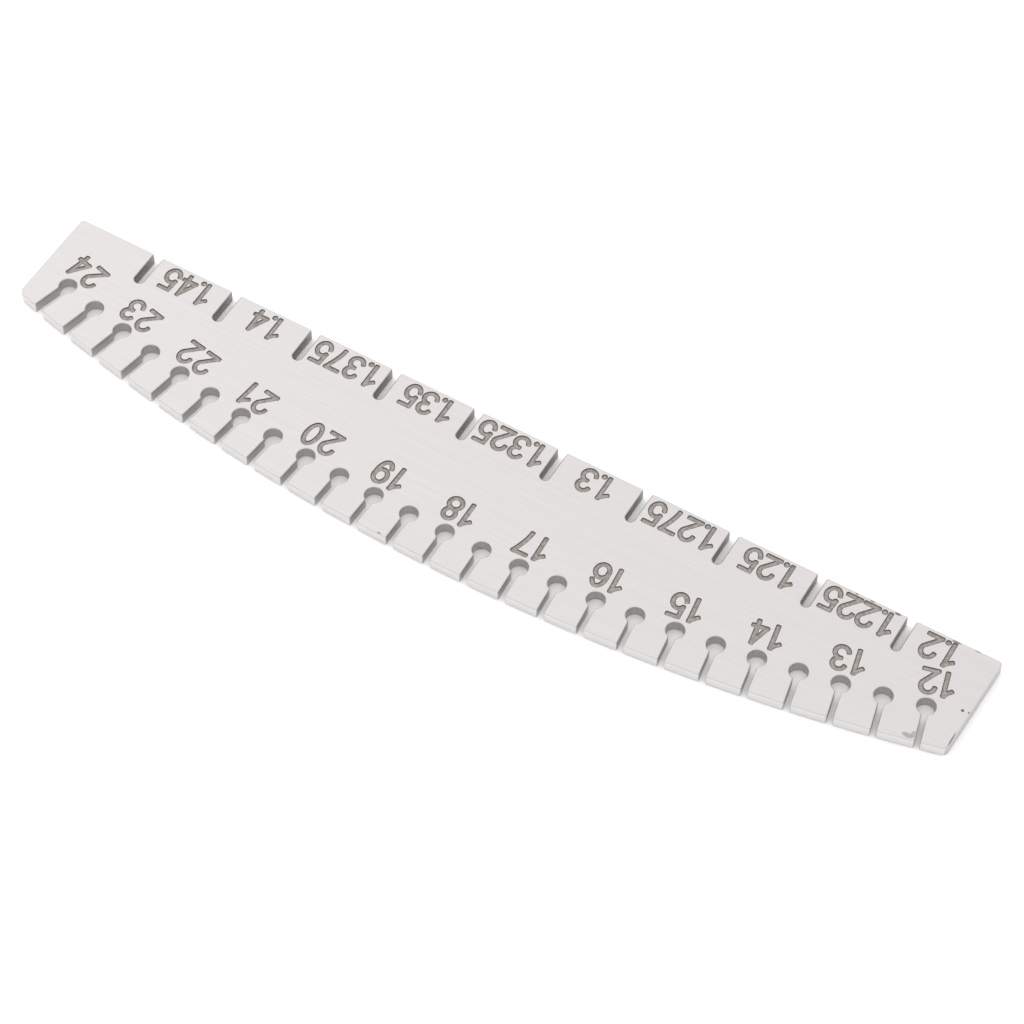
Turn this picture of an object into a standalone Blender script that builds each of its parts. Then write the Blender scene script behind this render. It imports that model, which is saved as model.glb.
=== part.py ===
"""Music wire gauge: one flat stainless steel plate with sized slots along both long edges.

The straight edge lies along the X axis and the crowned edge faces +Y. The plate rests on Z = 0 and its
numerals are engraved in the upper face. Twenty-five keyholes, for wire sizes 12 to 24 in half sizes, open
through the crowned edge. Ten round-ended slots, named by their width in millimetres, open through the
straight edge. Every size grows from -X to +X.
"""

import math

import bmesh
import bpy
from mathutils import Vector

MM = 0.001

# Plate
LENGTH = 139.6 * MM
HEIGHT = 23.6 * MM
END_LEAN = 0.5 * MM
THICKNESS = 1.8 * MM
CROWN_RADIUS = 280.0 * MM
STRAIGHT_CORNER = 0.6 * MM
CROWN_CORNER = 1.1 * MM

# Keyholes in the crowned edge
FIRST_SIZE = 12
LAST_SIZE = 24
KEYHOLES = 2 * (LAST_SIZE - FIRST_SIZE) + 1
KEYHOLE_PITCH = math.radians(1.215)
KEYHOLE_SHIFT = 0.2 * MM
HOLE_CIRCLE_RADIUS = 256.4 * MM
HOLE_DIAMETER = 2.46 * MM
HOLE_MARGIN = 4.75 * MM

# Slots in the straight edge, named by their width in millimetres
SLOT_NAMES = ("1.2", "1.225", "1.25", "1.275", "1.3", "1.325", "1.35", "1.375", "1.4", "1.45")
SLOT_PITCH = 12.7 * MM
SLOT_DEPTH = 5.35 * MM

# Numerals
NUMERAL_HEIGHT = 4.1 * MM
STROKE_WIDTH = 0.7 * MM
DOT_DIAMETER = 0.85 * MM
NUMERAL_DEPTH = 0.12 * MM
NUMERAL_GAP = 0.05 * MM
WIDE_NUMERAL_GAP = 0.42 * MM
GAP_AFTER_ONE = 0.1 * MM
SLOT_LABEL_BASE = 0.46 * MM
SLOT_LABEL_SHIFT = 0.1 * MM
FIRST_SLOT_LABEL_SHIFT = 1.37 * MM
FIRST_SIZE_LABEL_SHIFT = -0.6 * MM
SIZE_LABEL_DROP = 3.65 * MM
LATE_LABEL_DROP = 3.35 * MM
FIRST_LATE_SIZE = 20

CUT_MARGIN = 1.0 * MM
ARC_STEP = math.radians(24.0)

STRAIGHT_EDGE = -HEIGHT / 2
CROWN_CENTRE = Vector((0.0, HEIGHT / 2 - CROWN_RADIUS))
HOLE_CIRCLE_CENTRE = Vector((KEYHOLE_SHIFT, HEIGHT / 2 - HOLE_MARGIN - HOLE_CIRCLE_RADIUS))
MIDDLE_KEYHOLE = (KEYHOLES - 1) / 2
MIDDLE_SLOT = (len(SLOT_NAMES) - 1) / 2


def wire_diameter(size):
    """Diameter of music wire of a gauge size: even steps up to size 22.5, then double steps."""
    half_sizes = 2 * (size - FIRST_SIZE)
    double_steps = max(0.0, 2 * (size - 22.5))
    return (0.725 + 0.025 * (half_sizes + double_steps)) * MM


# ---------------------------------------------------------------- outlines in the plane of the plate


def arc(centre, radius, start, stop, steps=None):
    """Points of an arc from one angle to another. A pair of radii makes it part of an ellipse."""
    steps = steps or max(2, round(abs(stop - start) / ARC_STEP))
    radius_x, radius_y = radius if isinstance(radius, tuple) else (radius, radius)
    angles = [start + (stop - start) * step / steps for step in range(steps + 1)]
    return [
        Vector((centre[0] + radius_x * math.cos(angle), centre[1] + radius_y * math.sin(angle)))
        for angle in angles
    ]


def rounded(corners):
    """A closed outline whose corners, each with its own radius, are rounded. Radius 0 keeps a point."""
    outline = []
    count = len(corners)
    for index, (point, radius) in enumerate(corners):
        if not radius:
            outline.append(point)
            continue
        back = (corners[index - 1][0] - point).normalized()
        ahead = (corners[(index + 1) % count][0] - point).normalized()
        half_angle = back.angle(ahead) / 2
        centre = point + (back + ahead).normalized() * (radius / math.sin(half_angle))
        reach = radius / math.tan(half_angle)
        first, last = point + back * reach - centre, point + ahead * reach - centre
        start = math.atan2(first.y, first.x)
        sweep = first.angle_signed(last)
        outline.extend(arc(centre, radius, start, start - sweep))
    return outline


def on_crown(x):
    return Vector((x, CROWN_CENTRE.y + math.sqrt(CROWN_RADIUS**2 - x**2)))


def plate_outline():
    """The blank: a straight side, a crowned side and two ends, the -X one leaning, anticlockwise."""
    half = LENGTH / 2
    plus_corner, minus_corner = on_crown(half), on_crown(END_LEAN - half)
    start = math.asin(plus_corner.x / CROWN_RADIUS)
    stop = math.asin(minus_corner.x / CROWN_RADIUS)
    clear = 1.3 * CROWN_CORNER / CROWN_RADIUS
    quarter = math.pi / 2
    crown = arc(CROWN_CENTRE, CROWN_RADIUS, quarter - start + clear, quarter - stop - clear, steps=72)
    corners = [
        (Vector((-half, STRAIGHT_EDGE)), STRAIGHT_CORNER),
        (Vector((half, STRAIGHT_EDGE)), STRAIGHT_CORNER),
        (plus_corner, CROWN_CORNER),
    ]
    corners.extend((point, 0.0) for point in crown)
    corners.append((minus_corner, CROWN_CORNER))
    return rounded(corners)


def keyhole_outline(width):
    """A round hole at the origin with a parallel slot that leaves it along +Y, past the crowned edge."""
    radius = HOLE_DIAMETER / 2
    mouth = math.asin(width / 2 / radius)
    top = HOLE_MARGIN + CUT_MARGIN
    hole = arc((0, 0), radius, math.pi / 2 + mouth, 5 * math.pi / 2 - mouth)
    return hole + [Vector((width / 2, top)), Vector((-width / 2, top))]


def slot_outline(width):
    """A round-ended slot up from the X axis, and open below it, centred on the Y axis."""
    radius = width / 2
    end = arc((0, SLOT_DEPTH - radius), radius, 0, math.pi)
    return [Vector((-radius, -CUT_MARGIN)), Vector((radius, -CUT_MARGIN))] + end


def stroke_outline(line, width):
    """The band of one width along a line of points, with a rounded end at each side."""
    half = width / 2
    ends = (line[0] - line[1]).normalized(), (line[-1] - line[-2]).normalized()
    tangents = [-ends[0]]
    for before, here, after in zip(line, line[1:], line[2:]):
        tangents.append(((here - before).normalized() + (after - here).normalized()).normalized())
    tangents.append(ends[1])
    sides = [[], []]
    for index, (point, tangent) in enumerate(zip(line, tangents)):
        if index in (0, len(line) - 1):
            continue
        stretch = half / tangent.dot((line[index + 1] - point).normalized())
        across = Vector((-tangent.y, tangent.x)) * stretch
        sides[0].append(point + across)
        sides[1].append(point - across)
    start = cap(line[0], ends[0], half)
    finish = cap(line[-1], ends[1], half)
    return start + sides[1] + finish + sides[0][::-1]


def cap(point, outward, half):
    """The end of a stroke, anticlockwise: a square end with its two corners taken off."""
    turn = math.atan2(outward.y, outward.x)
    left = Vector((-outward.y, outward.x))
    corner = half * 0.65
    reach = half - corner
    right_centre = point + (outward - left) * reach
    left_centre = point + (outward + left) * reach
    return arc(right_centre, corner, turn - math.pi / 2, turn, 1) + arc(
        left_centre, corner, turn, turn + math.pi / 2, 1
    )


# ---------------------------------------------------------------- numerals, one unit high

PEN = STROKE_WIDTH / NUMERAL_HEIGHT
WIDTH = 0.6
ONE_WIDTH = 0.385
LOW = PEN / 2
HIGH = 1 - PEN / 2
WAIST = 0.51
LEFT = PEN / 2
RIGHT = WIDTH - PEN / 2
MIDDLE = WIDTH / 2
BOWL = (RIGHT - LEFT) / 2


def points(*pairs):
    return [Vector(pair) for pair in pairs]


def upper_bowl(start, stop, width=BOWL):
    rise = (HIGH - WAIST) / 2
    return arc((MIDDLE, WAIST + rise), (width, rise), math.radians(start), math.radians(stop))


def lower_bowl(start, stop):
    rise = (WAIST - LOW) / 2
    return arc((MIDDLE, LOW + rise), (BOWL, rise), math.radians(start), math.radians(stop))


def one():
    stem = ONE_WIDTH - PEN / 2
    return [points((stem, HIGH), (stem, LOW)), points((stem, HIGH - 0.01), (0.19, 0.78), (LEFT, 0.70))]


def two():
    bowl = arc((MIDDLE, 0.68), (BOWL, HIGH - 0.68), math.radians(172), math.radians(-28))
    return [bowl + points((LEFT + 0.02, LOW + 0.02)), points((LEFT, LOW), (RIGHT, LOW))]


def three():
    return [upper_bowl(160, -90, BOWL * 0.92), lower_bowl(90, -165)]


def four():
    stem = RIGHT - 0.12
    bar = 0.28
    return [
        points((stem, HIGH), (stem, LOW)),
        points((stem, HIGH), (LEFT, bar)),
        points((LEFT, bar), (RIGHT, bar)),
    ]


def five():
    bowl = arc((MIDDLE, 0.35), (BOWL, 0.35 - LOW), math.radians(140), math.radians(-165))
    corner = LEFT + 0.07
    return [points((corner, HIGH), (RIGHT - 0.02, HIGH)), points((corner, HIGH), bowl[0]), bowl]


def six():
    loop = arc((MIDDLE, 0.34), (BOWL, 0.34 - LOW), 0, 2 * math.pi)
    back = arc((MIDDLE, WAIST), (BOWL, HIGH - WAIST), math.radians(200), math.radians(35))
    return [loop, back]


def seven():
    foot = 0.26
    steps = 8
    leg = [
        Vector((foot + (RIGHT - foot) * (step / steps) ** 1.5, LOW + (HIGH - LOW) * step / steps))
        for step in range(steps + 1)
    ]
    return [points((LEFT, HIGH), (RIGHT, HIGH)), leg]


def eight():
    return [upper_bowl(90, -270, BOWL * 0.88), lower_bowl(90, -270)]


def nine():
    """A six turned half way round inside the numeral's own cell."""
    return [[Vector((WIDTH - point.x, 1 - point.y)) for point in line] for line in six()]


def nought():
    return [arc((MIDDLE, 0.5), (BOWL, HIGH - 0.5), 0, 2 * math.pi)]


NUMERALS = {
    "0": nought, "1": one, "2": two, "3": three, "4": four,
    "5": five, "6": six, "7": seven, "8": eight, "9": nine,
}


def advance(character, gap, after_one):
    """How far the next character starts from this one."""
    if character == ".":
        return DOT_DIAMETER + 2 * NUMERAL_GAP
    if character == "1":
        return ONE_WIDTH * NUMERAL_HEIGHT + gap + after_one
    return WIDTH * NUMERAL_HEIGHT + gap


def label_outlines(text, gap, after_one):
    """Closed outlines of a label's strokes, with the whole label centred on the origin."""
    left = -(sum(advance(character, gap, after_one) for character in text) - gap) / 2
    base = -NUMERAL_HEIGHT / 2
    outlines = []
    for character in text:
        corner = Vector((left, base))
        if character == ".":
            radius = DOT_DIAMETER / 2
            outlines.append(arc(corner + Vector((radius, radius)), radius, 0, 2 * math.pi, 12)[:-1])
        else:
            for line in NUMERALS[character]():
                placed = [corner + point * NUMERAL_HEIGHT for point in line]
                outlines.extend(closed_or_open(placed))
        left += advance(character, gap, after_one)
    return outlines


def closed_or_open(line):
    """A stroke's outline. A stroke that comes back to its start is drawn as two halves."""
    if (line[0] - line[-1]).length > STROKE_WIDTH / 10:
        return [stroke_outline(line, STROKE_WIDTH)]
    half = len(line) // 2
    return [stroke_outline(line[: half + 1], STROKE_WIDTH), stroke_outline(line[half:], STROKE_WIDTH)]


# ---------------------------------------------------------------- Blender objects


def clear_scene():
    for thing in list(bpy.data.objects):
        bpy.data.objects.remove(thing, do_unlink=True)


def new_collection(name):
    collection = bpy.data.collections.new(name)
    bpy.context.scene.collection.children.link(collection)
    return collection


def slab(name, outline, bottom, top, collection):
    """A solid mesh with a flat outline, between two heights."""
    curve = bpy.data.curves.new(name, "CURVE")
    curve.dimensions = "2D"
    curve.fill_mode = "BOTH"
    curve.extrude = (top - bottom) / 2
    spline = curve.splines.new("POLY")
    spline.points.add(len(outline) - 1)
    for target, point in zip(spline.points, outline):
        target.co = (point.x, point.y, 0.0, 1.0)
    spline.use_cyclic_u = True
    guide = bpy.data.objects.new(name + "_outline", curve)
    collection.objects.link(guide)
    bpy.context.view_layer.update()
    graph = bpy.context.evaluated_depsgraph_get()
    mesh = bpy.data.meshes.new_from_object(guide.evaluated_get(graph))
    bpy.data.objects.remove(guide, do_unlink=True)
    weld(mesh)
    solid = bpy.data.objects.new(name, mesh)
    solid.location.z = (top + bottom) / 2
    collection.objects.link(solid)
    return solid


def weld(mesh):
    """Joins the loose caps of a converted curve to its sides."""
    shape = bmesh.new()
    shape.from_mesh(mesh)
    bmesh.ops.remove_doubles(shape, verts=shape.verts, dist=0.001 * MM)
    bmesh.ops.recalc_face_normals(shape, faces=shape.faces)
    shape.to_mesh(mesh)
    shape.free()


def as_cutter(solid):
    solid.hide_render = True
    solid.display_type = "WIRE"
    return solid


def keyhole_angle(index):
    """Angle of a keyhole about the hole circle's centre, from +Y towards +X."""
    return (index - MIDDLE_KEYHOLE) * KEYHOLE_PITCH


def on_hole_circle(index, drop=0.0):
    """A point on a keyhole's radial line, this far nearer the circle's centre than its hole."""
    angle = keyhole_angle(index)
    outward = Vector((math.sin(angle), math.cos(angle)))
    return HOLE_CIRCLE_CENTRE + outward * (HOLE_CIRCLE_RADIUS - drop)


def place(solid, spot, angle=0.0):
    solid.location.x, solid.location.y = spot
    solid.rotation_euler.z = -angle
    return solid


def cut_keyholes(collection):
    for index in range(KEYHOLES):
        size = FIRST_SIZE + index / 2
        outline = keyhole_outline(wire_diameter(size))
        cutter = slab(f"keyhole_{size:g}", outline, -CUT_MARGIN, THICKNESS + CUT_MARGIN, collection)
        place(as_cutter(cutter), on_hole_circle(index), keyhole_angle(index))


def cut_slots(collection):
    for index, name in enumerate(SLOT_NAMES):
        outline = slot_outline(float(name) * MM)
        cutter = slab(f"slot_{name}", outline, -CUT_MARGIN, THICKNESS + CUT_MARGIN, collection)
        place(as_cutter(cutter), ((index - MIDDLE_SLOT) * SLOT_PITCH, STRAIGHT_EDGE))


def cut_label(text, gap, after_one, spot, angle, collection):
    for index, outline in enumerate(label_outlines(text, gap, after_one)):
        floor = THICKNESS - NUMERAL_DEPTH
        cutter = slab(f"label_{text}_{index}", outline, floor, THICKNESS + CUT_MARGIN, collection)
        place(as_cutter(cutter), spot, angle)


def cut_labels(collection):
    for index in range(0, KEYHOLES, 2):
        size = FIRST_SIZE + index // 2
        text = str(size)
        angle = keyhole_angle(index)
        spot = on_hole_circle(index, LATE_LABEL_DROP if size >= FIRST_LATE_SIZE else SIZE_LABEL_DROP)
        if size == FIRST_SIZE:
            spot += Vector((math.cos(angle), -math.sin(angle))) * FIRST_SIZE_LABEL_SHIFT
        cut_label(text, WIDE_NUMERAL_GAP, GAP_AFTER_ONE, spot, angle, collection)
    for index, name in enumerate(SLOT_NAMES):
        x = (index - MIDDLE_SLOT - 0.5) * SLOT_PITCH
        x += SLOT_LABEL_SHIFT if index else FIRST_SLOT_LABEL_SHIFT
        y = STRAIGHT_EDGE + SLOT_LABEL_BASE + NUMERAL_HEIGHT / 2
        cut_label(name, NUMERAL_GAP, 0.0, (x, y), 0.0, collection)


def subtract(solid, name, collection):
    modifier = solid.modifiers.new(name, "BOOLEAN")
    modifier.operation = "DIFFERENCE"
    modifier.operand_type = "COLLECTION"
    modifier.solver = "EXACT"
    modifier.collection = collection


def brushed_steel():
    material = bpy.data.materials.new("brushed_stainless_steel")
    material.use_nodes = True
    shader = material.node_tree.nodes["Principled BSDF"]
    shader.inputs["Base Color"].default_value = (0.74, 0.72, 0.71, 1.0)
    shader.inputs["Metallic"].default_value = 0.9
    shader.inputs["Roughness"].default_value = 0.42
    return material


def main():
    clear_scene()
    parts = new_collection("music_wire_gauge")
    openings = new_collection("opening_cutters")
    engraving = new_collection("engraving_cutters")

    plate = slab("gauge_plate", plate_outline(), 0.0, THICKNESS, parts)
    plate.data.materials.append(brushed_steel())
    cut_keyholes(openings)
    cut_slots(openings)
    cut_labels(engraving)
    subtract(plate, "openings", openings)
    subtract(plate, "engraving", engraving)


main()
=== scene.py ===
"""The music wire gauge, finely meshed and finished, on a pale floor under soft studio light."""

import math

import bmesh
import bpy
from mathutils import Matrix, Vector
from mathutils.geometry import delaunay_2d_cdt


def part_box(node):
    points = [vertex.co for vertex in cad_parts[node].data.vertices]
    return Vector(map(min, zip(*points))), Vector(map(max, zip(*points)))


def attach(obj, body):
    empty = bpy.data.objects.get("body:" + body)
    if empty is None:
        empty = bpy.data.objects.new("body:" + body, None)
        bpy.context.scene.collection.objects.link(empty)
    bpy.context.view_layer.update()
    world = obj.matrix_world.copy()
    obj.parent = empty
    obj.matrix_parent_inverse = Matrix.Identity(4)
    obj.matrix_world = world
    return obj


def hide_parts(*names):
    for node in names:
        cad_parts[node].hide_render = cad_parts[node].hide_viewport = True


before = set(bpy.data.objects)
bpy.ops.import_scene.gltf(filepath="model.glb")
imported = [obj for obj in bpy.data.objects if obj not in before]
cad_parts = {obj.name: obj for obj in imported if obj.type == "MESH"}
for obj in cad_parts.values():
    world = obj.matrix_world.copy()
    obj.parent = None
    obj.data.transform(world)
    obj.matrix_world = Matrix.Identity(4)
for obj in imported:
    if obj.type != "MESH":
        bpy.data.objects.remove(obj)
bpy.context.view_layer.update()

MM = 0.001

# Plate: its box comes from the frame, and the rest repeats the design's own dimensions
BOX_LOW, BOX_HIGH = (Vector(corner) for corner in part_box("gauge_plate"))
LENGTH = 139.6 * MM
THICKNESS = BOX_HIGH.z - BOX_LOW.z
STRAIGHT_EDGE = BOX_LOW.y
CROWN_TOP = BOX_HIGH.y
END_LEAN = 0.5 * MM
CROWN_RADIUS = 280.0 * MM
STRAIGHT_CORNER = 0.6 * MM
CROWN_CORNER = 1.1 * MM
MOUTH_CORNER = 0.25 * MM
THROAT_CORNER = 0.2 * MM
EDGE_BREAK = 0.14 * MM

# Keyholes in the crowned edge
FIRST_SIZE = 12
LAST_SIZE = 24
KEYHOLES = 2 * (LAST_SIZE - FIRST_SIZE) + 1
FIRST_WIRE_MM = 0.725
WIRE_STEP_MM = 0.025
LAST_EVEN_SIZE = 22.5
KEYHOLE_PITCH = math.radians(1.215)
KEYHOLE_SHIFT = 0.2 * MM
HOLE_CIRCLE_RADIUS = 256.4 * MM
HOLE_DIAMETER = 2.46 * MM
HOLE_MARGIN = 4.75 * MM

# Slots in the straight edge, named by their width in millimetres
SLOT_NAMES = ("1.2", "1.225", "1.25", "1.275", "1.3", "1.325", "1.35", "1.375", "1.4", "1.45")
SLOT_PITCH = 12.7 * MM
SLOT_DEPTH = 5.35 * MM

# Numerals
NUMERAL_HEIGHT = 4.1 * MM
STROKE_WIDTH = 0.7 * MM
DOT_DIAMETER = 0.85 * MM
NUMERAL_DEPTH = 0.12 * MM
NUMERAL_GAP = 0.05 * MM
WIDE_NUMERAL_GAP = 0.42 * MM
GAP_AFTER_ONE = 0.1 * MM
SLOT_LABEL_BASE = 0.46 * MM
SLOT_LABEL_SHIFT = 0.1 * MM
FIRST_SLOT_LABEL_SHIFT = 1.37 * MM
FIRST_SIZE_LABEL_SHIFT = -0.6 * MM
SIZE_LABEL_DROP = 3.65 * MM
LATE_LABEL_DROP = 3.35 * MM
FIRST_LATE_SIZE = 20
DARK_OUTLINE = 0.13 * MM

# Fineness of the mesh
ARC_STEP = math.radians(9.0)
CROWN_STEP = 0.8 * MM
CLEAR_OF_CORNER = 1.3
MERGE_DISTANCE = 1e-9
EDGE_STEPS = 3
CAP_CORNER = 0.65
CAP_STEPS = 4

CROWN_CENTRE = Vector((0.0, CROWN_TOP - CROWN_RADIUS))
HOLE_CIRCLE_CENTRE = Vector((KEYHOLE_SHIFT, CROWN_TOP - HOLE_MARGIN - HOLE_CIRCLE_RADIUS))
MIDDLE_KEYHOLE = (KEYHOLES - 1) / 2
MIDDLE_SLOT = (len(SLOT_NAMES) - 1) / 2

# Marks of use on the upper face, in millimetres: centre, half size and strength
WEAR_MARKS = (
    ((-68.45, -2.9), (0.24, 0.24), 0.95),
    ((-69.25, -3.0), (0.15, 0.15), 0.85),
    ((-69.14, 1.5), (0.12, 1.3), 0.75),
    ((-64.2, 3.75), (0.85, 0.4), 0.45),
    ((-64.85, 3.2), (0.45, 0.6), 0.4),
    ((-63.4, -11.5), (0.7, 0.2), 0.75),
    ((-66.3, -11.6), (0.5, 0.12), 0.5),
    ((-55.2, -11.5), (0.5, 0.2), 0.85),
    ((-51.6, -11.55), (0.4, 0.15), 0.65),
    ((-49.4, -11.55), (0.25, 0.15), 0.65),
    ((7.35, 11.52), (0.3, 0.1), 0.9),
)

# Brushing: noise drawn out along the plate, as a colour between two and as a slight relief
BRUSHING = (60.0, 4000.0, 4000.0)
BRUSHED_DARK = (0.5, 0.481, 0.476)
BRUSHED_PALE = (0.525, 0.507, 0.501)
BRUSHING_DEPTH = 0.01 * MM
WEAR_COLOUR = (0.10, 0.09, 0.085)
WEAR_SOFTNESS = 0.3

# Etched ground of the numerals, mottled between two colours
MOTTLE = (2500.0, 2500.0, 2500.0)
GROUND_DARK = (0.2, 0.178, 0.162)
GROUND_PALE = (0.34, 0.312, 0.29)

# The levels of noise that give the darker and the paler colour
NOISE_LOW = 0.35
NOISE_HIGH = 0.65

# Light: strength of the surroundings, their gain along X, Y and Z, and one softbox
SURROUNDINGS = 1.1
SURROUNDINGS_SLOPE = (0.1, 0.0, 0.4)
SOFTBOX_AZIMUTH = 75.0
SOFTBOX_ELEVATION = 40.0
SOFTBOX_DISTANCE = 1.0
SOFTBOX_SIZE = 1.0
SOFTBOX_POWER = 1.0
FLOOR_SIZE = 3.0

# Camera
CAMERA_LENS = 114.13
CAMERA_AZIMUTH = 210.2
CAMERA_ELEVATION = 55.11
CAMERA_ROLL = 0.6
CAMERA_DISTANCE = 416.8 * MM
CAMERA_AIM = Vector((-5.58 * MM, STRAIGHT_EDGE + 11.79 * MM, BOX_LOW.z + THICKNESS))

# Numbers of the plate's materials; the side look is the steel painted paler, as the light on the long
# side faces
FACE, PAINTED_PALER_SIDE, KEYHOLE_WALL, SLOT_WALL_PAINTED_SHADE, NUMERAL_GROUND, NUMERAL_OUTLINE = range(6)


def wire_diameter(size):
    """Diameter of music wire of a gauge size: a step to each half size, then double steps."""
    half_sizes = 2 * (size - FIRST_SIZE)
    double_steps = max(0.0, 2 * (size - LAST_EVEN_SIZE))
    return (FIRST_WIRE_MM + WIRE_STEP_MM * (half_sizes + double_steps)) * MM


# ---------------------------------------------------------------- outlines in the plane of the plate


def arc(centre, radius, start, stop, steps=None):
    """Points of an arc from one angle to another. A pair of radii makes it part of an ellipse."""
    steps = steps or max(2, math.ceil(abs(stop - start) / ARC_STEP))
    radius_x, radius_y = radius if isinstance(radius, tuple) else (radius, radius)
    angles = [start + (stop - start) * step / steps for step in range(steps + 1)]
    return [
        Vector((centre[0] + radius_x * math.cos(angle), centre[1] + radius_y * math.sin(angle)))
        for angle in angles
    ]


def keyhole_angle(index):
    """Angle of a keyhole about the hole circle's centre, from +Y towards +X."""
    return (index - MIDDLE_KEYHOLE) * KEYHOLE_PITCH


def on_hole_circle(index, drop=0.0):
    """A point on a keyhole's radial line, this far nearer the circle's centre than its hole."""
    angle = keyhole_angle(index)
    outward = Vector((math.sin(angle), math.cos(angle)))
    return HOLE_CIRCLE_CENTRE + outward * (HOLE_CIRCLE_RADIUS - drop)


def to_crown(start, direction):
    """Distance from a point to the crowned edge along a direction."""
    offset = start - CROWN_CENTRE
    along = offset.dot(direction)
    return math.sqrt(along**2 + CROWN_RADIUS**2 - offset.length_squared) - along


def slot_x(index):
    """Where a slot's middle is along the plate."""
    return (index - MIDDLE_SLOT) * SLOT_PITCH


def moved(line, spot, angle=0.0):
    """The points turned clockwise by an angle, and then moved."""
    turn = Matrix.Rotation(-angle, 2)
    return [turn @ point + Vector(spot) for point in line]


def rounded(corners):
    """A closed outline whose corners, each with its own radius, are rounded. Radius 0 keeps a point."""
    outline = []
    count = len(corners)
    for index, (point, radius) in enumerate(corners):
        if not radius:
            outline.append(point)
            continue
        back = (corners[index - 1][0] - point).normalized()
        ahead = (corners[(index + 1) % count][0] - point).normalized()
        half_angle = back.angle(ahead) / 2
        centre = point + (back + ahead).normalized() * (radius / math.sin(half_angle))
        reach = radius / math.tan(half_angle)
        first, last = point + back * reach - centre, point + ahead * reach - centre
        start = math.atan2(first.y, first.x)
        sweep = first.angle_signed(last)
        outline.extend(arc(centre, radius, start, start - sweep))
    return outline


def keyhole_corners(index):
    """A keyhole as the outline meets it, clockwise round the hole, from its +X lip to its -X lip."""
    radius = HOLE_DIAMETER / 2
    half = wire_diameter(FIRST_SIZE + index / 2) / 2
    mouth = math.asin(half / radius)
    hole = arc((0, 0), radius, math.pi / 2 - mouth, mouth - 3 * math.pi / 2)
    spot, angle = on_hole_circle(index), keyhole_angle(index)
    outward = Vector((math.sin(angle), math.cos(angle)))
    sides = moved([Vector((half, 0)), Vector((-half, 0))], spot, angle)
    lips = [side + outward * to_crown(side, outward) for side in sides]
    line = lips[:1] + moved(hole, spot, angle) + lips[1:]
    radii = [MOUTH_CORNER, THROAT_CORNER] + [0.0] * (len(hole) - 2) + [THROAT_CORNER, MOUTH_CORNER]
    return list(zip(line, radii))


def slot_corners(index):
    """A slot as the outline meets it, clockwise round its end, from its -X lip to its +X lip."""
    radius = float(SLOT_NAMES[index]) * MM / 2
    end = arc((0, SLOT_DEPTH - radius), radius, math.pi, 0)
    line = [Vector((-radius, 0))] + end + [Vector((radius, 0))]
    radii = [MOUTH_CORNER] + [0.0] * len(end) + [MOUTH_CORNER]
    return list(zip(moved(line, (slot_x(index), STRAIGHT_EDGE)), radii))


def crown_angle(point):
    """A point's angle about the crown's centre, from +Y towards +X."""
    offset = point - CROWN_CENTRE
    return math.atan2(offset.x, offset.y)


def crown_run(before, after):
    """Plain points on the crown between two rounded corners, clear of each by its radius and more."""
    start = crown_angle(before[0]) - CLEAR_OF_CORNER * before[1] / CROWN_RADIUS
    stop = crown_angle(after[0]) + CLEAR_OF_CORNER * after[1] / CROWN_RADIUS
    steps = max(2, round(abs(stop - start) * CROWN_RADIUS / CROWN_STEP))
    run = arc(CROWN_CENTRE, CROWN_RADIUS, math.pi / 2 - start, math.pi / 2 - stop, steps)
    return [(point, 0.0) for point in run[1:-1]]


def on_crown(x):
    """The point of the crowned edge at this distance along the plate."""
    return Vector((x, CROWN_CENTRE.y + math.sqrt(CROWN_RADIUS**2 - x**2)))


def plate_outline():
    """The whole plate seen from above, anticlockwise from its -X end, which leans."""
    half = LENGTH / 2
    corners = [(Vector((-half, STRAIGHT_EDGE)), STRAIGHT_CORNER)]
    for index in range(len(SLOT_NAMES)):
        corners.extend(slot_corners(index))
    corners.append((Vector((half, STRAIGHT_EDGE)), STRAIGHT_CORNER))
    corners.append((on_crown(half), CROWN_CORNER))
    for index in reversed(range(KEYHOLES)):
        keyhole = keyhole_corners(index)
        corners.extend(crown_run(corners[-1], keyhole[0]))
        corners.extend(keyhole)
    last = (on_crown(END_LEAN - half), CROWN_CORNER)
    corners.extend(crown_run(corners[-1], last))
    corners.append(last)
    return rounded(corners)


def inset(outline, distance):
    """The outline moved into the material by a distance, point for point."""
    moved_in = []
    for index, point in enumerate(outline):
        back = (point - outline[index - 1]).normalized()
        ahead = (outline[(index + 1) % len(outline)] - point).normalized()
        tangent = (back + ahead).normalized()
        inward = Vector((-tangent.y, tangent.x))
        moved_in.append(point + inward * (distance / tangent.dot(ahead)))
    return moved_in


# ---------------------------------------------------------------- numerals, one unit high

PEN = STROKE_WIDTH / NUMERAL_HEIGHT
WIDTH = 0.6
ONE_WIDTH = 0.385
LOW = PEN / 2
HIGH = 1 - PEN / 2
WAIST = 0.51
LEFT = PEN / 2
RIGHT = WIDTH - PEN / 2
MIDDLE = WIDTH / 2
BOWL = (RIGHT - LEFT) / 2


def points(*pairs):
    """A line of points from their coordinates."""
    return [Vector(pair) for pair in pairs]


def upper_bowl(start, stop, width=BOWL):
    rise = (HIGH - WAIST) / 2
    return arc((MIDDLE, WAIST + rise), (width, rise), math.radians(start), math.radians(stop))


def lower_bowl(start, stop):
    rise = (WAIST - LOW) / 2
    return arc((MIDDLE, LOW + rise), (BOWL, rise), math.radians(start), math.radians(stop))


def one():
    stem = ONE_WIDTH - PEN / 2
    return [points((stem, HIGH), (stem, LOW)), points((stem, HIGH - 0.01), (0.19, 0.78), (LEFT, 0.70))]


def two():
    rise = 0.68
    bowl = arc((MIDDLE, rise), (BOWL, HIGH - rise), math.radians(172), math.radians(-28))
    return [bowl + points((LEFT + 0.02, LOW + 0.02)), points((LEFT, LOW), (RIGHT, LOW))]


def three():
    return [upper_bowl(160, -90, BOWL * 0.92), lower_bowl(90, -165)]


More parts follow.
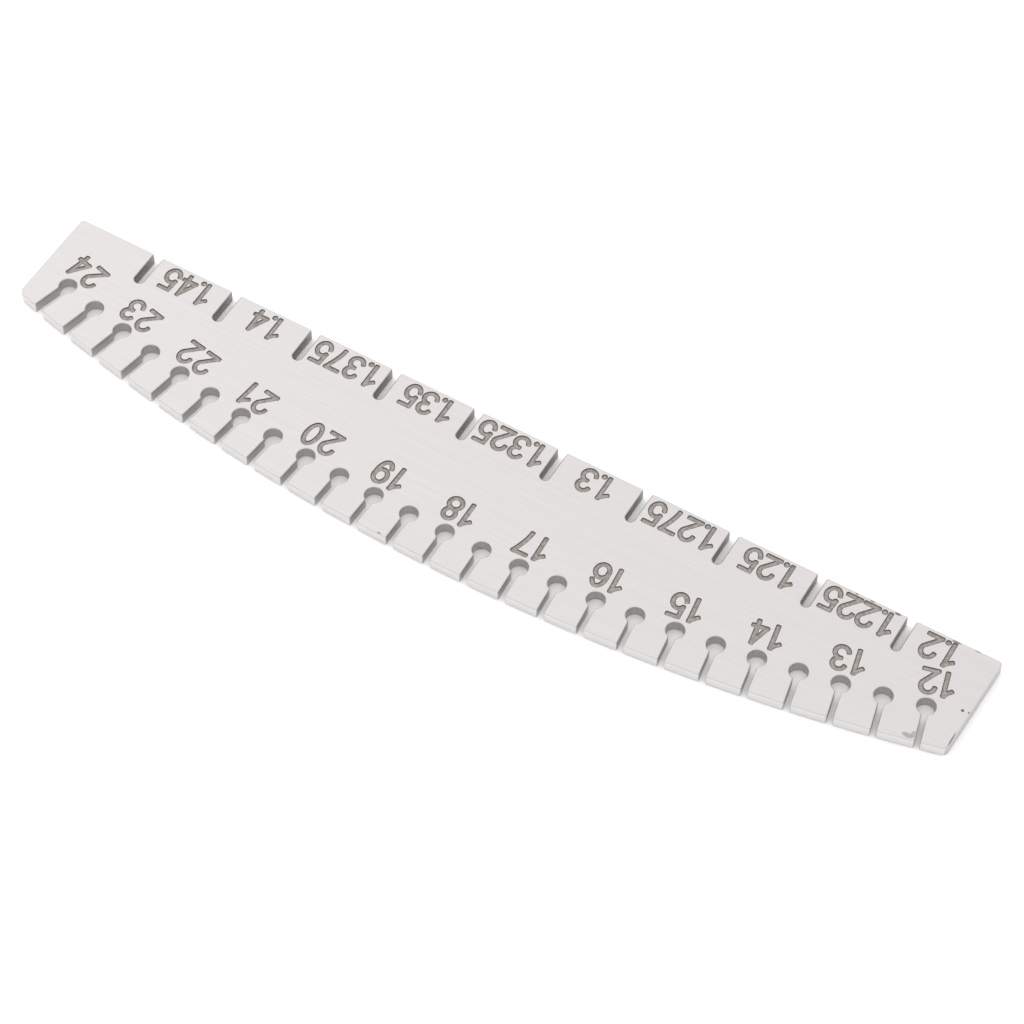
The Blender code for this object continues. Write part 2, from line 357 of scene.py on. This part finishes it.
def four():
    stem = RIGHT - 0.12
    bar = 0.28
    return [
        points((stem, HIGH), (stem, LOW)),
        points((stem, HIGH), (LEFT, bar)),
        points((LEFT, bar), (RIGHT, bar)),
    ]


def five():
    rise = 0.35
    bowl = arc((MIDDLE, rise), (BOWL, rise - LOW), math.radians(140), math.radians(-165))
    corner = LEFT + 0.07
    return [points((corner, HIGH), (RIGHT - 0.02, HIGH)), points((corner, HIGH), bowl[0]), bowl]


def six():
    rise = 0.34
    loop = arc((MIDDLE, rise), (BOWL, rise - LOW), 0, 2 * math.pi)
    back = arc((MIDDLE, WAIST), (BOWL, HIGH - WAIST), math.radians(200), math.radians(35))
    return [loop, back]


def seven():
    foot = 0.26
    steps = 8
    leg = [
        Vector((foot + (RIGHT - foot) * (step / steps) ** 1.5, LOW + (HIGH - LOW) * step / steps))
        for step in range(steps + 1)
    ]
    return [points((LEFT, HIGH), (RIGHT, HIGH)), leg]


def eight():
    return [upper_bowl(90, -270, BOWL * 0.88), lower_bowl(90, -270)]


def nine():
    """A six turned half way round inside the numeral's own cell."""
    return [[Vector((WIDTH - point.x, 1 - point.y)) for point in line] for line in six()]


def nought():
    return [arc((MIDDLE, 0.5), (BOWL, HIGH - 0.5), 0, 2 * math.pi)]


NUMERALS = {
    "0": nought, "1": one, "2": two, "3": three, "4": four,
    "5": five, "6": six, "7": seven, "8": eight, "9": nine,
}


def stroke_outline(line, width):
    """The band of one width along a line of points, with a blunt, soft-cornered end at each side."""
    half = width / 2
    ends = (line[0] - line[1]).normalized(), (line[-1] - line[-2]).normalized()
    sides = [[], []]
    for before, here, after in zip(line, line[1:], line[2:]):
        tangent = ((here - before).normalized() + (after - here).normalized()).normalized()
        stretch = half / tangent.dot((after - here).normalized())
        across = Vector((-tangent.y, tangent.x)) * stretch
        sides[0].append(here + across)
        sides[1].append(here - across)
    return cap(line[0], ends[0], half) + sides[1] + cap(line[-1], ends[1], half) + sides[0][::-1]


def cap(point, outward, half):
    """The end of a stroke, anticlockwise: a square end with two rounded corners."""
    turn = math.atan2(outward.y, outward.x)
    left = Vector((-outward.y, outward.x))
    corner = half * CAP_CORNER
    reach = half - corner
    right_centre = point + (outward - left) * reach
    left_centre = point + (outward + left) * reach
    right = arc(right_centre, corner, turn - math.pi / 2, turn, CAP_STEPS)
    return right + arc(left_centre, corner, turn, turn + math.pi / 2, CAP_STEPS)


def strokes(line, width):
    """A stroke's outline. A stroke that comes back to its start is drawn as two halves."""
    if (line[0] - line[-1]).length > width / 10:
        return [stroke_outline(line, width)]
    half = len(line) // 2
    return [stroke_outline(line[: half + 1], width), stroke_outline(line[half:], width)]


def advance(character, gap, after_one):
    """How far the next character starts from this one."""
    if character == ".":
        return DOT_DIAMETER + 2 * NUMERAL_GAP
    if character == "1":
        return ONE_WIDTH * NUMERAL_HEIGHT + gap + after_one
    return WIDTH * NUMERAL_HEIGHT + gap


def label_outlines(text, gap, after_one, spot, angle, narrower):
    """Closed outlines of a label's strokes, with the whole label centred on a spot."""
    left = -(sum(advance(character, gap, after_one) for character in text) - gap) / 2
    base = -NUMERAL_HEIGHT / 2
    outlines = []
    for character in text:
        corner = Vector((left, base))
        if character == ".":
            centre = corner + Vector((DOT_DIAMETER, DOT_DIAMETER)) / 2
            radius = (DOT_DIAMETER - narrower) / 2
            outlines.append(arc(centre, radius, 0, 2 * math.pi)[:-1])
        else:
            for line in NUMERALS[character]():
                placed = [corner + point * NUMERAL_HEIGHT for point in line]
                outlines.extend(strokes(placed, STROKE_WIDTH - narrower))
        left += advance(character, gap, after_one)
    return [moved(outline, spot, angle) for outline in outlines]


def all_labels(narrower=0.0):
    """Outlines of every label's strokes, each this much narrower than the pen."""
    outlines = []
    for index in range(0, KEYHOLES, 2):
        size = FIRST_SIZE + index // 2
        angle = keyhole_angle(index)
        spot = on_hole_circle(index, LATE_LABEL_DROP if size >= FIRST_LATE_SIZE else SIZE_LABEL_DROP)
        if size == FIRST_SIZE:
            spot += Vector((math.cos(angle), -math.sin(angle))) * FIRST_SIZE_LABEL_SHIFT
        outlines.extend(
            label_outlines(str(size), WIDE_NUMERAL_GAP, GAP_AFTER_ONE, spot, angle, narrower)
        )
    base = STRAIGHT_EDGE + SLOT_LABEL_BASE + NUMERAL_HEIGHT / 2
    for index, text in enumerate(SLOT_NAMES):
        shift = SLOT_LABEL_SHIFT if index else FIRST_SLOT_LABEL_SHIFT
        spot = (slot_x(index) - SLOT_PITCH / 2 + shift, base)
        outlines.extend(label_outlines(text, NUMERAL_GAP, 0.0, spot, 0.0, narrower))
    return outlines


# ---------------------------------------------------------------- the plate's mesh


def edge_rings(outline):
    """Rings of points from the lower face's rim round the broken edges to the upper face's rim."""
    rings = []
    for step in range(EDGE_STEPS + 1):
        turn = math.pi / 2 * step / EDGE_STEPS
        depth = EDGE_BREAK * (1 - math.sin(turn))
        rings.append((inset(outline, depth), EDGE_BREAK * (1 - math.cos(turn))))
    upper = [(ring, THICKNESS - height) for ring, height in reversed(rings)]
    return rings + upper


def in_opening(point):
    """True well inside a keyhole or a slot, false on the plate's own four sides."""
    clear = MOUTH_CORNER
    below_crown = (point - CROWN_CENTRE).length < CROWN_RADIUS - clear
    above_edge = point.y > STRAIGHT_EDGE + clear
    inside_ends = abs(point.x) < LENGTH / 2 - 2 * CROWN_CORNER
    return below_crown and above_edge and inside_ends


def add_flat_face(shape, rim, height, upward):
    """Fills the rim with flat faces at one height, joined to the rim's own vertices."""
    flat = [vert.co.to_2d() for vert in rim]
    whole = [list(range(len(rim)))]
    spots, _, faces, origins, _, _ = delaunay_2d_cdt(flat, [], whole, 1, MERGE_DISTANCE)
    made = {}
    for number, sources in enumerate(origins):
        made[number] = rim[sources[0]] if sources else shape.verts.new((*spots[number], height))
    for face in faces:
        loop = [made[number] for number in face]
        new_face = shape.faces.new(loop if upward else loop[::-1])
        new_face.material_index = FACE


def add_engraved_face(shape, rim, height):
    """Fills the rim at one height, with every label's strokes sunk below it."""
    flat = [vert.co.to_2d() for vert in rim]
    regions = [list(range(len(rim)))]
    full_strokes = all_labels()
    for outline in full_strokes + all_labels(narrower=2 * DARK_OUTLINE):
        regions.append(list(range(len(flat), len(flat) + len(outline))))
        flat.extend(outline)
    spots, _, faces, origins, _, regions_of = delaunay_2d_cdt(flat, [], regions, 1, MERGE_DISTANCE)
    upper, lower = {}, {}
    for number, sources in enumerate(origins):
        on_rim = [source for source in sources if source < len(rim)]
        if on_rim:
            upper[number] = rim[on_rim[0]]

    def vertex(store, number, level):
        if number not in store:
            store[number] = shape.verts.new((*spots[number], level))
        return store[number]

    sunk_edges, raised_edges = [], set()
    for face, sources in zip(faces, regions_of):
        sunk = any(source > 0 for source in sources)
        middle = any(source > len(full_strokes) for source in sources)
        store, level = (lower, height - NUMERAL_DEPTH) if sunk else (upper, height)
        new_face = shape.faces.new([vertex(store, number, level) for number in face])
        sunk_look = NUMERAL_GROUND if middle else NUMERAL_OUTLINE
        new_face.material_index = sunk_look if sunk else FACE
        for first, second in zip(face, face[1:] + face[:1]):
            if sunk:
                sunk_edges.append((first, second))
            else:
                raised_edges.add((first, second))
    for first, second in sunk_edges:
        if (second, first) in raised_edges:
            wall = [lower[second], lower[first], upper[first], upper[second]]
            shape.faces.new(wall).material_index = NUMERAL_OUTLINE


def plate_mesh(name):
    """The plate as one closed mesh, smooth round its edges and flat elsewhere.

    Openings have looks of their own. On the plate's four sides, the long ones have the side look, the
    steel painted paler as light, up to the middle strip, and the upper broken edges and the ends look
    like the face.
    """
    shape = bmesh.new()
    outline = plate_outline()
    rings = [
        [shape.verts.new((point.x, point.y, height)) for point in ring]
        for ring, height in edge_rings(outline)
    ]
    count = len(outline)
    opening = [in_opening(point) for point in outline]
    middle_strip = len(rings) // 2 - 1
    for strip_number, (lower, upper) in enumerate(zip(rings, rings[1:])):
        for index in range(count):
            after = (index + 1) % count
            strip = shape.faces.new((lower[index], lower[after], upper[after], upper[index]))
            strip.smooth = True
            if opening[index] or opening[after]:
                in_slot = outline[index].y < STRAIGHT_EDGE + SLOT_DEPTH + THROAT_CORNER
                # the slots' walls get the steel painted darker as shade
                strip.material_index = SLOT_WALL_PAINTED_SHADE if in_slot else KEYHOLE_WALL
            else:
                run = outline[after] - outline[index]
                long_side = abs(run.x) > abs(run.y) and strip_number <= middle_strip
                # the long sides' lower strips get the steel painted paler as light; the ends and upper
                # broken edges keep the face's steel
                strip.material_index = PAINTED_PALER_SIDE if long_side else FACE
    add_flat_face(shape, rings[0], BOX_LOW.z, upward=False)
    add_engraved_face(shape, rings[-1], BOX_LOW.z + THICKNESS)
    for edge in shape.edges:
        kinds = {face.smooth for face in edge.link_faces}
        if len(kinds) == 2 or any(not face.smooth for face in edge.link_faces):
            edge.smooth = False
    mesh = bpy.data.meshes.new(name)
    shape.to_mesh(mesh)
    shape.free()
    return mesh


# ---------------------------------------------------------------- materials


def new_material(name, colour, metallic, roughness):
    """A material with one plain colour all over."""
    material = bpy.data.materials.new(name)
    material.use_nodes = True
    shader = material.node_tree.nodes["Principled BSDF"]
    shader.inputs["Base Color"].default_value = (*colour, 1.0)
    shader.inputs["Metallic"].default_value = metallic
    shader.inputs["Roughness"].default_value = roughness
    return material


def node(material, kind, **inputs):
    """A new shader node whose inputs, named with underscores for spaces, are set."""
    made = material.node_tree.nodes.new(kind)
    for name, value in inputs.items():
        made.inputs[name.replace("_", " ")].default_value = value
    return made


def link(material, source, output, target, name):
    """Joins a shader node's output to another node's input."""
    material.node_tree.links.new(source.outputs[output], target.inputs[name])


def stretched_noise(material, stretch, detail):
    """Noise with a number of features to the metre along X, Y and Z."""
    place = node(material, "ShaderNodeTexCoord")
    mapping = node(material, "ShaderNodeMapping", Scale=stretch)
    noise = node(material, "ShaderNodeTexNoise", Scale=1.0, Detail=detail, Roughness=0.6)
    link(material, place, "Object", mapping, "Vector")
    link(material, mapping, "Vector", noise, "Vector")
    return noise


def ramp(material, noise, dark, pale):
    """The noise turned into a colour between two."""
    made = node(material, "ShaderNodeMapRange", From_Min=NOISE_LOW, From_Max=NOISE_HIGH)
    link(material, noise, "Fac", made, "Value")
    mix = material.node_tree.nodes.new("ShaderNodeMix")
    mix.data_type = "RGBA"
    mix.inputs["A"].default_value = (*dark, 1.0)
    mix.inputs["B"].default_value = (*pale, 1.0)
    link(material, made, "Result", mix, "Factor")
    return mix


def ellipse_mask(material, centre, size):
    """A mask that is 1 in an ellipse on the plate and fades to 0 at its edge."""
    place = node(material, "ShaderNodeTexCoord")
    scale = [1 / length for length in size]
    shift = [-middle * factor for middle, factor in zip(centre, scale)]
    mapping = node(material, "ShaderNodeMapping", Location=(*shift, 0.0), Scale=(*scale, 0.0))
    distance = material.node_tree.nodes.new("ShaderNodeVectorMath")
    distance.operation = "LENGTH"
    fade = node(material, "ShaderNodeMapRange", From_Min=1.0, From_Max=1.0 - WEAR_SOFTNESS)
    link(material, place, "Object", mapping, "Vector")
    link(material, mapping, "Vector", distance, "Vector")
    link(material, distance, "Value", fade, "Value")
    return fade


def mark(material, colour, mask, amount, dark):
    """The colour with a mark of a darker colour over it, where the mask is."""
    strength = material.node_tree.nodes.new("ShaderNodeMath")
    strength.operation = "MULTIPLY"
    strength.inputs[1].default_value = amount
    link(material, mask, "Result", strength, 0)
    mix = material.node_tree.nodes.new("ShaderNodeMix")
    mix.data_type = "RGBA"
    link(material, strength, "Value", mix, "Factor")
    link(material, colour, "Result", mix, "A")
    mix.inputs["B"].default_value = (*dark, 1.0)
    return mix


def brushed_steel():
    """Stainless steel, finely brushed along the plate, with a few marks of use."""
    material = new_material("brushed_stainless_steel", (0.55, 0.53, 0.52), 1.0, 0.42)
    shader = material.node_tree.nodes["Principled BSDF"]
    grain = stretched_noise(material, BRUSHING, 6.0)
    colour = ramp(material, grain, BRUSHED_DARK, BRUSHED_PALE)
    for centre, size, amount in WEAR_MARKS:
        mask = ellipse_mask(material, [part * MM for part in centre], [part * MM for part in size])
        colour = mark(material, colour, mask, amount, WEAR_COLOUR)
    link(material, colour, "Result", shader, "Base Color")
    bump = node(material, "ShaderNodeBump", Strength=0.15, Distance=BRUSHING_DEPTH)
    link(material, grain, "Fac", bump, "Height")
    link(material, bump, "Normal", shader, "Normal")
    return material


def side_steel():
    """The steel of the two long side faces, painted paler as the light they catch."""
    return new_material("steel_edge_painted_paler", (0.68, 0.67, 0.665), 1.0, 0.45)


def keyhole_steel():
    """Slightly shaded steel of the keyholes' walls."""
    return new_material("keyhole_wall", (0.50, 0.478, 0.465), 1.0, 0.5)


def slot_steel():
    """The steel of the slots' walls, painted darker as the shade in the slots."""
    return new_material("slot_wall_painted_shade", (0.31, 0.297, 0.288), 1.0, 0.5)


def numeral_ground():
    """Etched ground of the numerals: dull, darker and slightly brown."""
    material = new_material("etched_numeral_ground", (0.27, 0.245, 0.225), 0.3, 0.7)
    shader = material.node_tree.nodes["Principled BSDF"]
    mottle = stretched_noise(material, MOTTLE, 3.0)
    tint = ramp(material, mottle, GROUND_DARK, GROUND_PALE)
    link(material, tint, "Result", shader, "Base Color")
    return material


def numeral_outline():
    """The dark border of the numerals, with their walls."""
    return new_material("etched_numeral_outline", (0.125, 0.113, 0.103), 0.3, 0.6)


# ---------------------------------------------------------------- floor, light and camera


def aim(thing, target, azimuth, elevation, distance, roll=0.0):
    """Puts a camera or a light at a distance from a target, and turns it to face the target."""
    turn, lift = math.radians(azimuth), math.radians(elevation)
    level = math.cos(lift)
    outward = Vector((math.sin(turn) * level, -math.cos(turn) * level, math.sin(lift)))
    thing.location = target + outward * distance
    facing = outward.to_track_quat("Z", "Y").to_matrix()
    spin = Matrix.Rotation(math.radians(roll), 3, "Z")
    thing.rotation_euler = (facing @ spin).to_euler()


def softbox():
    """A large square light that faces the plate."""
    data = bpy.data.lights.new("main_softbox", "AREA")
    data.size = SOFTBOX_SIZE
    data.energy = SOFTBOX_POWER
    light = bpy.data.objects.new("main_softbox", data)
    bpy.context.scene.collection.objects.link(light)
    aim(light, Vector(), SOFTBOX_AZIMUTH, SOFTBOX_ELEVATION, SOFTBOX_DISTANCE)


def pale_floor():
    """A wide plain floor under the plate."""
    shape = bmesh.new()
    bmesh.ops.create_grid(shape, x_segments=1, y_segments=1, size=FLOOR_SIZE)
    mesh = bpy.data.meshes.new("floor")
    shape.to_mesh(mesh)
    shape.free()
    floor = bpy.data.objects.new("floor", mesh)
    bpy.context.scene.collection.objects.link(floor)
    floor.location.z = BOX_LOW.z
    mesh.materials.append(new_material("pale_floor", (0.9, 0.9, 0.9), 0.0, 0.9))
    return floor


def soft_world():
    """White light from all round, stronger towards one side and from above."""
    world = bpy.data.worlds.new("soft_studio")
    world.use_nodes = True
    nodes, links = world.node_tree.nodes, world.node_tree.links
    background = nodes["Background"]
    background.inputs["Color"].default_value = (1.0, 1.0, 1.0, 1.0)
    direction = nodes.new("ShaderNodeTexCoord")
    gain = nodes.new("ShaderNodeVectorMath")
    gain.operation = "DOT_PRODUCT"
    gain.inputs[1].default_value = [SURROUNDINGS * part for part in SURROUNDINGS_SLOPE]
    total = nodes.new("ShaderNodeMath")
    total.inputs[1].default_value = SURROUNDINGS
    links.new(direction.outputs["Generated"], gain.inputs[0])
    links.new(gain.outputs["Value"], total.inputs[0])
    links.new(total.outputs["Value"], background.inputs["Strength"])
    bpy.context.scene.world = world


def main_camera():
    """The camera that looks down on the plate from the crowned edge's side."""
    data = bpy.data.cameras.new("camera")
    data.sensor_width = 36.0
    data.lens = CAMERA_LENS
    data.clip_start = 0.01
    data.clip_end = 20.0
    camera = bpy.data.objects.new("camera", data)
    bpy.context.scene.collection.objects.link(camera)
    aim(camera, CAMERA_AIM, CAMERA_AZIMUTH, CAMERA_ELEVATION, CAMERA_DISTANCE, CAMERA_ROLL)
    bpy.context.scene.camera = camera


# ---------------------------------------------------------------- the scene

plate = bpy.data.objects.new("gauge_plate_finished", plate_mesh("gauge_plate_finished"))
bpy.context.scene.collection.objects.link(plate)
looks = (brushed_steel, side_steel, keyhole_steel, slot_steel, numeral_ground, numeral_outline)
for look in looks:
    plate.data.materials.append(look())
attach(plate, "root")
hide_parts("gauge_plate")

pale_floor()
soft_world()
softbox()
bpy.context.scene.view_settings.view_transform = "Standard"
main_camera()
